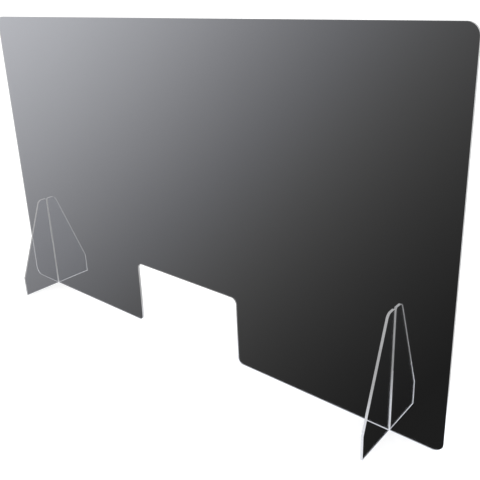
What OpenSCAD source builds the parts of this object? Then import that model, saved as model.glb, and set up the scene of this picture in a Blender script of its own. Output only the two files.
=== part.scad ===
// Desk privacy panel: one upright acrylic sheet with a pass-through opening, standing
// in two identical plate feet. Each foot crosses the sheet in a half-lap, so the three
// plates slot together with no fasteners.
// Millimetres, +Z up. The origin is on the table under the middle of the sheet, +X runs
// along the sheet's width and -Y points to the visitor's side.

/* [Sheet] */
// Thickness of the acrylic that all three plates are cut from
sheet_t = 4.7; // [4:0.1:8]
// Width of the upright panel
panel_w = 1220; // [900:10:1500]
// Height of the upright panel
panel_h = 705; // [500:5:900]
// Radius of the panel's four outer corners
panel_corner_r = 21; // [4:1:50]

/* [Pass-through opening] */
// Width of the opening at the middle of the panel's bottom edge
pass_w = 305; // [150:5:450]
// Height of the opening above the table
pass_h = 152; // [60:1:250]
// Radius of the opening's two upper corners
pass_corner_r = 13; // [3:1:25]
// Radius of the two panel corners where the opening meets the bottom edge
pass_mouth_r = 13; // [1:0.5:25]

/* [Feet] */
// Distance from each end of the panel to the middle of its foot
foot_inset = 103; // [70:1:180]
// Length of a foot along the table, from front to back
foot_l = 194; // [140:1:300]
// Height of a foot
foot_h = 246; // [180:1:320]
// Height of the upright ends, below the slopes
foot_end_h = 49; // [15:1:80]
// Width of a foot at its top, before its corners are rounded
foot_top_w = 50; // [46:1:70]
// Radius of the foot's two outer top corners
foot_top_r = 13; // [4:0.5:14]
// Radius of the two corners at the mouth of the foot's slot
foot_mouth_r = 4; // [1:0.5:5]

/* [Half-lap] */
// Gap between a slot wall and the plate in it, on each side
slot_clearance = 0.2; // [0.1:0.05:0.5]
// Gap left between the two slot ends where they meet
lap_gap = 0.5; // [0.2:0.1:2]

/* [Hidden] */

$fn = 96;

// Extra length by which a cut passes an outer edge
over = 1;

slot_w = sheet_t + 2 * slot_clearance;
lap_z = foot_h / 2;
panel_slot_top = lap_z + lap_gap / 2;
foot_slot_end = lap_z - lap_gap / 2;
foot_x = panel_w / 2 - foot_inset;

// The foot's long slope leans in by this angle from the vertical
slope_lean = atan((foot_l - foot_top_w) / 2 / (foot_h - foot_end_h));
// Distance from the sharp top corner to each end of the arc that rounds it
top_tangent = foot_top_r * tan((90 - slope_lean) / 2);

acrylic = [0.30, 0.31, 0.33, 0.75];

// Rectangle that stands on the X axis, centred in X, with four rounded corners
module rounded_sheet(w, h, r) {
    translate([-w / 2, r]) square([w, h - 2 * r]);
    translate([-w / 2 + r, 0]) square([w - 2 * r, h]);
    for (x = [-w / 2 + r, w / 2 - r], y = [r, h - r])
        translate([x, y]) circle(r);
}

// What is cut away to round a square corner at the origin whose sides run along +X and +Y
module corner_cut(r) {
    difference() {
        translate([-over, -over]) square(r + over);
        translate([r, r]) circle(r);
    }
}

// The opening, cut up from the bottom edge, with its two upper corners rounded
module pass_through() {
    rise = pass_h - pass_corner_r;
    translate([-pass_w / 2, -over]) square([pass_w, rise + over]);
    translate([-pass_w / 2 + pass_corner_r, 0]) square([pass_w - 2 * pass_corner_r, pass_h]);
    for (side = [-1, 1])
        translate([side * (pass_w / 2 - pass_corner_r), rise]) circle(pass_corner_r);
}

// The panel's face, seen from the front
module panel_outline() {
    difference() {
        rounded_sheet(panel_w, panel_h, panel_corner_r);
        pass_through();
        for (side = [0, 1])
            mirror([side, 0]) {
                translate([pass_w / 2, 0]) corner_cut(pass_mouth_r);
                translate([foot_x - slot_w / 2, -over]) square([slot_w, panel_slot_top + over]);
            }
    }
}

// One half of the foot's face: upright end, slope, rounded top corner
module half_foot_outline() {
    polygon([
        [0, 0],
        [foot_l / 2, 0],
        [foot_l / 2, foot_end_h],
        [foot_top_w / 2 + top_tangent * sin(slope_lean), foot_h - top_tangent * cos(slope_lean)],
        [foot_top_w / 2 - top_tangent, foot_h],
        [0, foot_h],
    ]);
    translate([foot_top_w / 2 - top_tangent, foot_h - foot_top_r]) circle(foot_top_r);
}

// The foot's face, seen from the side, with the slot that takes the panel
module foot_outline() {
    difference() {
        union() {
            half_foot_outline();
            mirror([1, 0]) half_foot_outline();
        }
        translate([-slot_w / 2, foot_slot_end]) square([slot_w, foot_h - foot_slot_end + over]);
        for (side = [0, 1])
            mirror([side, 0])
                translate([slot_w / 2, foot_h])
                    mirror([0, 1]) corner_cut(foot_mouth_r);
    }
}

// A foot, cut from sheet and stood up on the YZ plane
module foot_plate() {
    color(acrylic)
        rotate([90, 0, 90])
            linear_extrude(sheet_t, center = true) foot_outline();
}

module shield_panel() {
    color(acrylic)
        rotate([90, 0, 0])
            linear_extrude(sheet_t, center = true) panel_outline();
}

module left_foot() {
    translate([-foot_x, 0, 0]) foot_plate();
}

module right_foot() {
    translate([foot_x, 0, 0]) foot_plate();
}

shield_panel();
left_foot();
right_foot();
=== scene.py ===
"""Looks of the desk privacy panel: three acrylic plates with polished faces and cut edges.

Metres, +Z up. The origin is on the table under the middle of the sheet, +X runs along the
sheet's width and -Y points to the visitor's side.
"""

import math

import bmesh
import bpy
from mathutils import Matrix, Vector


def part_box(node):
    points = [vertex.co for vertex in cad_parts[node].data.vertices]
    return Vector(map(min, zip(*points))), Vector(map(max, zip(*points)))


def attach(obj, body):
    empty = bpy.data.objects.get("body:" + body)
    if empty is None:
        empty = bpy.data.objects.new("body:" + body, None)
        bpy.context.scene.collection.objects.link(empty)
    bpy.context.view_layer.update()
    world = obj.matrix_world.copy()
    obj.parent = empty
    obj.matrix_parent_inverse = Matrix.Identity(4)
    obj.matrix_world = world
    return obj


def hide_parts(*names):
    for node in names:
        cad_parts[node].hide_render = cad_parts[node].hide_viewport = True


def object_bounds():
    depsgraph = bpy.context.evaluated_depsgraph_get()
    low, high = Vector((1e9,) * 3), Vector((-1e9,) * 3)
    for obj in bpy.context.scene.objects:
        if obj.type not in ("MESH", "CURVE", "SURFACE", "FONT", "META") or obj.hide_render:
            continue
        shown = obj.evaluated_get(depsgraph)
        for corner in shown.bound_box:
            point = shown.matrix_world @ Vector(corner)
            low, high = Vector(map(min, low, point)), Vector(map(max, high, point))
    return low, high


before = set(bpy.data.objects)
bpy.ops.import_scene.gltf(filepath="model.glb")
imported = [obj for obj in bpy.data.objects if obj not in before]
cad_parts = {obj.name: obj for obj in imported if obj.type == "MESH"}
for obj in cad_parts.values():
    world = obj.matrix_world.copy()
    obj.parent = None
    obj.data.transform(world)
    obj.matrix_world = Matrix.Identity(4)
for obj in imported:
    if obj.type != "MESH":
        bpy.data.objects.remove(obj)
cad_low, cad_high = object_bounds()

# Outline of the panel
PANEL_CORNER_RADIUS = 0.021
PASS_WIDTH = 0.305
PASS_HEIGHT = 0.152
PASS_CORNER_RADIUS = 0.013
PASS_MOUTH_RADIUS = 0.013

# Outline of a foot
FOOT_END_HEIGHT = 0.049
FOOT_TOP_WIDTH = 0.050
FOOT_TOP_RADIUS = 0.013
FOOT_MOUTH_RADIUS = 0.004

# Half-lap between the panel and a foot
SLOT_CLEARANCE = 0.0002
LAP_GAP = 0.0005

# The small round that a scraper leaves along each cut edge
ARRIS_RADIUS = 0.0004
ARRIS_STEPS = 3
DEGREES_PER_ARC_STEP = 5

# Material slots of a plate
FACE_SLOT = 0
EDGE_SLOT = 1


# ---------------------------------------------------------------- outlines

def arc(centre, radius, start, end):
    """Points on a circle from one angle to another, in degrees, both ends included."""
    steps = max(2, round(abs(end - start) / DEGREES_PER_ARC_STEP))
    points = []
    for i in range(steps + 1):
        angle = math.radians(start + (end - start) * i / steps)
        points.append((centre[0] + radius * math.cos(angle), centre[1] + radius * math.sin(angle)))
    return points


def both_halves(half):
    """A closed outline from its right half, mirrored to the left."""
    return half + [(-u, v) for u, v in reversed(half)]


def panel_outline(width, height, foot_x, slot_width, slot_top):
    """The panel's face, counter-clockwise as seen from the front."""
    end = width / 2
    right_half = [
        *arc((PASS_WIDTH / 2 - PASS_CORNER_RADIUS, PASS_HEIGHT - PASS_CORNER_RADIUS),
             PASS_CORNER_RADIUS, 90, 0),
        *arc((PASS_WIDTH / 2 + PASS_MOUTH_RADIUS, PASS_MOUTH_RADIUS),
             PASS_MOUTH_RADIUS, 180, 270),
        (foot_x - slot_width / 2, 0),
        (foot_x - slot_width / 2, slot_top),
        (foot_x + slot_width / 2, slot_top),
        (foot_x + slot_width / 2, 0),
        *arc((end - PANEL_CORNER_RADIUS, PANEL_CORNER_RADIUS), PANEL_CORNER_RADIUS, 270, 360),
        *arc((end - PANEL_CORNER_RADIUS, height - PANEL_CORNER_RADIUS),
             PANEL_CORNER_RADIUS, 0, 90),
    ]
    return both_halves(right_half)


def foot_outline(length, height, slot_width, slot_end):
    """A foot's face, counter-clockwise as seen from its +X side."""
    lean = math.atan((length - FOOT_TOP_WIDTH) / 2 / (height - FOOT_END_HEIGHT))
    tangent = FOOT_TOP_RADIUS * math.tan((math.pi / 2 - lean) / 2)
    rear_half = [
        (length / 2, 0),
        (length / 2, FOOT_END_HEIGHT),
        *arc((FOOT_TOP_WIDTH / 2 - tangent, height - FOOT_TOP_RADIUS),
             FOOT_TOP_RADIUS, math.degrees(lean), 90),
        *arc((slot_width / 2 + FOOT_MOUTH_RADIUS, height - FOOT_MOUTH_RADIUS),
             FOOT_MOUTH_RADIUS, 90, 180),
        (slot_width / 2, slot_end),
    ]
    return both_halves(rear_half)


# ---------------------------------------------------------------- plates

def inset(outline, distance):
    """The outline moved inwards by a distance, with mitred corners."""
    points = [Vector(p) for p in outline]
    moved = []
    for i, here in enumerate(points):
        before = (here - points[i - 1]).normalized()
        after = (points[(i + 1) % len(points)] - here).normalized()
        inward = Vector((-before.y - after.y, before.x + after.x)).normalized()
        half_turn = math.sqrt((1 + before.dot(after)) / 2)
        moved.append(here + inward * (distance / half_turn))
    return moved


def plate(name, outline, thickness, place):
    """A closed plate with rounded arrises. place(u, v, w) puts a point of it in the frame."""
    rings = []
    for side in (-1, 1):
        for step in range(ARRIS_STEPS + 1):
            angle = math.pi / 2 * (step if side < 0 else ARRIS_STEPS - step) / ARRIS_STEPS
            depth = ARRIS_RADIUS * (1 - math.sin(angle))
            rise = ARRIS_RADIUS * (1 - math.cos(angle))
            rings.append((depth, side * (thickness / 2 - rise)))

    mesh = bmesh.new()
    loops = []
    for depth, w in rings:
        loops.append([mesh.verts.new(place(p.x, p.y, w)) for p in inset(outline, depth)])
    for low, high in zip(loops, loops[1:]):
        for i in range(len(low)):
            j = (i + 1) % len(low)
            wall = mesh.faces.new((low[i], low[j], high[j], high[i]))
            wall.material_index = EDGE_SLOT
    for cap in (list(reversed(loops[0])), loops[-1]):
        mesh.faces.new(cap).material_index = FACE_SLOT
    bmesh.ops.recalc_face_normals(mesh, faces=mesh.faces)

    data = bpy.data.meshes.new(name)
    mesh.to_mesh(data)
    mesh.free()
    piece = bpy.data.objects.new(name, data)
    bpy.context.scene.collection.objects.link(piece)
    return piece


# ---------------------------------------------------------------- materials

class Nodes:
    """Short names for building a node tree."""

    def __init__(self, tree):
        self.tree = tree
        self.tree.nodes.clear()

    def add(self, kind, values=None, **settings):
        """A new node with its settings, and its sockets set or linked by name or number."""
        node = self.tree.nodes.new(kind)
        for key, value in settings.items():
            setattr(node, key, value)
        for key, value in (values or {}).items():
            if isinstance(value, bpy.types.NodeSocket):
                self.tree.links.new(value, node.inputs[key])
            else:
                node.inputs[key].default_value = value
        return node

    def math(self, operation, a, b=0.0, c=0.0):
        return self.add("ShaderNodeMath", {0: a, 1: b, 2: c}, operation=operation).outputs[0]

    def noise(self, where, size, stretch=(1, 1, 1), detail=2.0):
        """Noise from 0 to 1 whose features are about size metres across."""
        scaled = self.add("ShaderNodeVectorMath", {0: where, 1: stretch}, operation="MULTIPLY")
        settings = {"Vector": scaled.outputs[0], "Scale": 1 / size, "Detail": detail}
        return self.add("ShaderNodeTexNoise", settings).outputs[0]

    def span(self, value, low, high, to_low, to_high):
        """A value mapped smoothly from one range to another."""
        ranges = {0: value, 1: low, 2: high, 3: to_low, 4: to_high}
        return self.add("ShaderNodeMapRange", ranges, interpolation_type="SMOOTHSTEP").outputs[0]

    def blend(self, factor, a, b):
        """A colour between a and b. The node's colours are its sockets 6 and 7, and its output 2."""
        mix = self.add("ShaderNodeMix", {0: factor, 6: (*a, 1), 7: (*b, 1)}, data_type="RGBA")
        return mix.outputs[2]

    def scale(self, colour, factor):
        """A colour made brighter or darker."""
        scaled = self.add("ShaderNodeVectorMath", {0: colour, "Scale": factor}, operation="SCALE")
        return scaled.outputs[0]


def material(name):
    made = bpy.data.materials.new(name)
    made.use_nodes = True
    return made, Nodes(made.node_tree)


ACRYLIC_IOR = 1.49

# Tint of the sheet, which clouds slowly between two shades
FACE_TINT = (0.915, 0.92, 0.935)
FACE_TINT_DEEP = (0.885, 0.892, 0.91)
CLOUD_SIZE = 0.30

# Wiping marks: tall soft patches that are a little less polished
WIPE_SIZE = 0.05
WIPE_STRETCH = (1, 1, 0.35)
WIPE_SPAN = (0.45, 0.75)
WIPE_ROUGHNESS = (0.004, 0.030)

# Hairline scratches: thin upright streaks where the noise is near its peak
HAIR_SIZE = 0.0012
HAIR_STRETCH = (1, 1, 0.02)
HAIR_SPAN = (0.70, 0.76)
HAIR_ROUGHNESS = 0.05

# Waviness of the sheet
WAVE_SIZE = 0.12
WAVE_STRENGTH = 0.25
WAVE_HEIGHT = 0.0006


def acrylic_face():
    """Polished clear sheet with a light grey tint, wiping marks and hairline scratches."""
    made, n = material("acrylic_face")
    where = n.add("ShaderNodeTexCoord").outputs["Object"]
    cloud = n.noise(where, CLOUD_SIZE)
    wiped = n.noise(where, WIPE_SIZE, WIPE_STRETCH, detail=4.0)
    hairs = n.noise(where, HAIR_SIZE, HAIR_STRETCH, detail=1.0)
    scratch = n.span(hairs, *HAIR_SPAN, 0.0, 1.0)
    marks = n.math("ADD", n.span(wiped, *WIPE_SPAN, *WIPE_ROUGHNESS),
                   n.math("MULTIPLY", scratch, HAIR_ROUGHNESS))
    waves = n.noise(where, WAVE_SIZE, detail=1.0)
    bump = n.add("ShaderNodeBump",
                 {"Strength": WAVE_STRENGTH, "Distance": WAVE_HEIGHT, "Height": waves})
    surface = n.add("ShaderNodeBsdfPrincipled", {
        "Base Color": n.blend(cloud, FACE_TINT, FACE_TINT_DEEP),
        "Roughness": marks,
        "IOR": ACRYLIC_IOR,
        "Transmission Weight": 1.0,
        "Normal": bump.outputs[0],
    })
    n.add("ShaderNodeOutputMaterial", {0: surface.outputs[0]})
    return made


# Body of a cut edge: fine lines across the thickness, over larger patches
EDGE_LIGHT = (0.11, 0.11, 0.115)
EDGE_DARK = (0.05, 0.05, 0.055)
EDGE_TONE_SPAN = (0.35, 0.65)
EDGE_LINE_SIZE = 0.0011
EDGE_LINE_STRETCH = 0.02
EDGE_PATCH_SIZE = 0.05
EDGE_ROUGHNESS_SPAN = (0.3, 0.7)
EDGE_ROUGHNESS = (0.22, 0.42)
EDGE_BUMP_STRENGTH = 0.4
EDGE_BUMP_HEIGHT = 0.00015

# Painted glow on the cut edges: an emission that stands in for light the sheet would pipe
# to them. It is stronger and cooler near the table, and towards +X, than high up, stronger behind
# the panel than in front of it, and strongest at the panel's two ends
PAINTED_GLOW_HIGH = (0.31, 0.31, 0.31)
PAINTED_GLOW_LOW = (0.69, 0.705, 0.745)
PAINTED_GLOW_LOW_HEIGHT = 0.045
PAINTED_GLOW_HIGH_HEIGHT = 0.15
PAINTED_GLOW_TILT = 0.095
PAINTED_GLOW_BACK_GAIN = 1.35
PAINTED_GLOW_BACK_DEPTH = 0.05
PAINTED_GLOW_END_GAIN = 1.7
PAINTED_GLOW_END_DEPTH = 0.02


def acrylic_edge(thin_axis):
    """Cut edge with a painted glow, an emission that is no lamp: fine lines across the thickness,
    slightly frosted.
    """
    made, n = material("acrylic_edge_" + thin_axis)
    where = n.add("ShaderNodeTexCoord").outputs["Object"]
    across = (1, EDGE_LINE_STRETCH, 1) if thin_axis == "y" else (EDGE_LINE_STRETCH, 1, 1)
    lines = n.noise(where, EDGE_LINE_SIZE, across, detail=3.0)
    patches = n.noise(where, EDGE_PATCH_SIZE)
    tone = n.math("ADD", n.math("MULTIPLY", lines, 0.5), n.math("MULTIPLY", patches, 0.5))
    bump = n.add("ShaderNodeBump",
                 {"Strength": EDGE_BUMP_STRENGTH, "Distance": EDGE_BUMP_HEIGHT, "Height": lines})
    # The emission below is painted light: a glow set by the edge's height, its side of the panel and
    # its nearness to the ends, not lit by any lamp
    part = n.add("ShaderNodeSeparateXYZ", {0: where}).outputs
    from_end = n.math("SUBTRACT", cad_high.x, part["X"])
    height = n.math("ADD", part["Z"], n.math("MULTIPLY", from_end, PAINTED_GLOW_TILT))
    painted_glow_fade = n.span(height, PAINTED_GLOW_LOW_HEIGHT, PAINTED_GLOW_HIGH_HEIGHT, 0.0, 1.0)
    back = n.span(part["Y"], 0.0, PAINTED_GLOW_BACK_DEPTH, 1.0, PAINTED_GLOW_BACK_GAIN)
    sideways = n.math("ABSOLUTE", part["X"])
    ends = n.span(sideways, cad_high.x - PAINTED_GLOW_END_DEPTH, cad_high.x, 1.0, PAINTED_GLOW_END_GAIN)
    painted_glow_gain = n.math("MULTIPLY", back, ends)
    surface = n.add("ShaderNodeBsdfPrincipled", {
        "Base Color": n.blend(n.span(tone, *EDGE_TONE_SPAN, 0.0, 1.0), EDGE_DARK, EDGE_LIGHT),
        "Emission Color": n.scale(n.blend(painted_glow_fade, PAINTED_GLOW_LOW, PAINTED_GLOW_HIGH), painted_glow_gain),
        "Emission Strength": 1.0,
        "Roughness": n.span(lines, *EDGE_ROUGHNESS_SPAN, *EDGE_ROUGHNESS),
        "IOR": ACRYLIC_IOR,
        "Normal": bump.outputs[0],
    })
    n.add("ShaderNodeOutputMaterial", {0: surface.outputs[0]})
    return made


# ---------------------------------------------------------------- the three plates

def build_plates():
    panel_low, panel_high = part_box("shield_panel")
    foot_low, foot_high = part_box("right_foot")
    thickness = panel_high.y - panel_low.y
    slot_width = thickness + 2 * SLOT_CLEARANCE
    lap_height = foot_high.z / 2
    foot_x = (foot_low.x + foot_high.x) / 2

    outline = panel_outline(panel_high.x - panel_low.x, panel_high.z, foot_x,
                            slot_width, lap_height + LAP_GAP / 2)
    sheet = plate("panel_sheet", outline, thickness, lambda u, v, w: (u, -w, v))
    face = acrylic_face()
    sheet.data.materials.append(face)
    sheet.data.materials.append(acrylic_edge("y"))
    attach(sheet, "panel")
    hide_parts("shield_panel")

    outline = foot_outline(foot_high.y - foot_low.y, foot_high.z,
                           slot_width, lap_height - LAP_GAP / 2)
    edge = acrylic_edge("x")
    for body in ("left_foot", "right_foot"):
        low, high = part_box(body)
        middle = (low.x + high.x) / 2
        foot = plate(body + "_plate", outline, thickness, lambda u, v, w: (middle + w, u, v))
        foot.data.materials.append(face)
        foot.data.materials.append(edge)
        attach(foot, body)
        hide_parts(body)


# ---------------------------------------------------------------- studio

FLOOR_SIZE = 30.0
FLOOR_DROP = 0.0005
STUDIO_WHITE = 1.15
FLOOR_TONE = 0.85
FLOOR_LIGHT = 0.45
FLOOR_ROUGHNESS = 0.9

# The backdrop seen in and through the plates: light grey up and to the sides, near black
# low down, and a little lighter straight ahead than just beside that. Its tone follows an
# S-shaped curve between darkest and lightest
BACKDROP_SIDE = 0.565
BACKDROP_SIDE_BEND = 0.249
BACKDROP_UP = 0.5635
BACKDROP_MIDDLE = 0.6586
BACKDROP_STEEPNESS = 5.47
BACKDROP_LIGHTEST = 1.022
BACKDROP_DARKEST = 0.014
BACKDROP_AHEAD_LIFT = 0.30
BACKDROP_AHEAD_WIDTH = 0.25
BACKDROP_CREASE = 0.15

# Its hue: faintly blue where it is light, and a trace warm where it is dark
BACKDROP_HUE = (0.99, 1.0, 1.05)
BACKDROP_HUE_DARK = (1.005, 1.0, 0.985)
BACKDROP_HUE_RANGE = (0.03, 0.15)

# How much is added to the backdrop's brightness on its right side when a face mirrors it,
# in multiples of its own, and between which directions that sets in
MIRRORED_RIGHT = 2.5
MIRRORED_RIGHT_SPAN = (0.3, 0.9)

# The brightest that it gets, mirrored or not
BACKDROP_CEILING = 0.62
BACKDROP_CEILING_SOFTNESS = 0.12

# Between no diffuse bounce, 0, and the first, 1
FIRST_DIFFUSE_BOUNCE = 0.5


def studio_world():
    """White all round. Rays that have met only polished faces see the grey backdrop."""
    world = bpy.data.worlds.new("studio")
    bpy.context.scene.world = world
    world.use_nodes = True
    n = Nodes(world.node_tree)
    direction = n.add("ShaderNodeTexCoord").outputs["Generated"]
    part = n.add("ShaderNodeSeparateXYZ", {0: direction}).outputs
    leftwards = n.math("MULTIPLY", part["X"], -1.0)
    sideways = n.math("SMOOTH_MAX", part["X"], leftwards, BACKDROP_CREASE)
    slope = n.math("MULTIPLY_ADD", sideways, BACKDROP_SIDE_BEND, BACKDROP_SIDE)
    reach = n.math("ADD", n.math("MULTIPLY", sideways, slope),
                   n.math("MULTIPLY", part["Z"], BACKDROP_UP))
    ahead = n.span(sideways, 0.0, BACKDROP_AHEAD_WIDTH, BACKDROP_AHEAD_LIFT, 0.0)
    reach = n.math("ADD", reach, ahead)
    power = n.math("MULTIPLY", n.math("SUBTRACT", BACKDROP_MIDDLE, reach), BACKDROP_STEEPNESS)
    fall = n.math("ADD", n.math("EXPONENT", power), 1.0)
    tone = n.math("MAXIMUM", n.math("DIVIDE", BACKDROP_LIGHTEST, fall), BACKDROP_DARKEST)

    path = n.add("ShaderNodeLightPath").outputs
    right_side = n.span(part["X"], *MIRRORED_RIGHT_SPAN, 0.0, MIRRORED_RIGHT)
    mirrored = n.math("MULTIPLY", path["Is Glossy Ray"], right_side)
    tone = n.math("MULTIPLY", tone, n.math("ADD", mirrored, 1.0))
    tone = n.math("SMOOTH_MIN", tone, BACKDROP_CEILING, BACKDROP_CEILING_SOFTNESS)
    polished = n.math("MAXIMUM", path["Is Glossy Ray"], path["Is Transmission Ray"])
    undiffused = n.math("LESS_THAN", path["Diffuse Depth"], FIRST_DIFFUSE_BOUNCE)
    only_polished = n.math("MULTIPLY", polished, undiffused)
    hue = n.blend(n.span(tone, *BACKDROP_HUE_RANGE, 0.0, 1.0), BACKDROP_HUE_DARK, BACKDROP_HUE)
    backdrop = n.add("ShaderNodeBackground", {"Color": hue, "Strength": tone})
    white = n.add("ShaderNodeBackground", {"Color": (1, 1, 1, 1), "Strength": STUDIO_WHITE})
    both = n.add("ShaderNodeMixShader",
                 {0: only_polished, 1: white.outputs[0], 2: backdrop.outputs[0]})
    n.add("ShaderNodeOutputWorld", {0: both.outputs[0]})


def studio_floor():
    """A pale floor, just under the plates."""
    data = bpy.data.meshes.new("studio_floor")
    mesh = bmesh.new()
    bmesh.ops.create_grid(mesh, x_segments=1, y_segments=1, size=FLOOR_SIZE / 2)
    bmesh.ops.translate(mesh, verts=mesh.verts, vec=(0, 0, -FLOOR_DROP))
    mesh.to_mesh(data)
    mesh.free()
    floor = bpy.data.objects.new("studio_floor", data)
    bpy.context.scene.collection.objects.link(floor)
    made, n = material("pale_floor")
    pale = (FLOOR_TONE, FLOOR_TONE, FLOOR_TONE, 1)
    surface = n.add("ShaderNodeBsdfPrincipled", {
        "Base Color": pale,
        "Roughness": FLOOR_ROUGHNESS,
        "Emission Color": pale,
        "Emission Strength": FLOOR_LIGHT,
    })
    n.add("ShaderNodeOutputMaterial", {0: surface.outputs[0]})
    data.materials.append(made)
    floor.visible_glossy = False
    floor.visible_transmission = False


# The camera's place in metres, its turns in degrees, and its lens and sensor in millimetres
CAMERA_PLACE = (0.915, -0.846, 0.749)
CAMERA_YAW = 39.31
CAMERA_PITCH = 19.22
CAMERA_ROLL = -1.48
CAMERA_LENS = 46.29
CAMERA_SENSOR = 36.0
CAMERA_SHIFT = (-0.042, -0.070)


def studio_camera():
    data = bpy.data.cameras.new("camera")
    camera = bpy.data.objects.new("camera", data)
    bpy.context.scene.collection.objects.link(camera)
    data.sensor_width = CAMERA_SENSOR
    data.lens = CAMERA_LENS
    data.shift_x, data.shift_y = CAMERA_SHIFT
    turn = (Matrix.Rotation(math.radians(CAMERA_YAW), 4, "Z")
            @ Matrix.Rotation(math.radians(90 - CAMERA_PITCH), 4, "X")
            @ Matrix.Rotation(math.radians(CAMERA_ROLL), 4, "Z"))
    camera.matrix_world = Matrix.Translation(CAMERA_PLACE) @ turn
    bpy.context.scene.camera = camera


build_plates()
studio_world()
studio_floor()
studio_camera()
bpy.context.scene.view_settings.view_transform = "Standard"

bpy.context.view_layer.update()
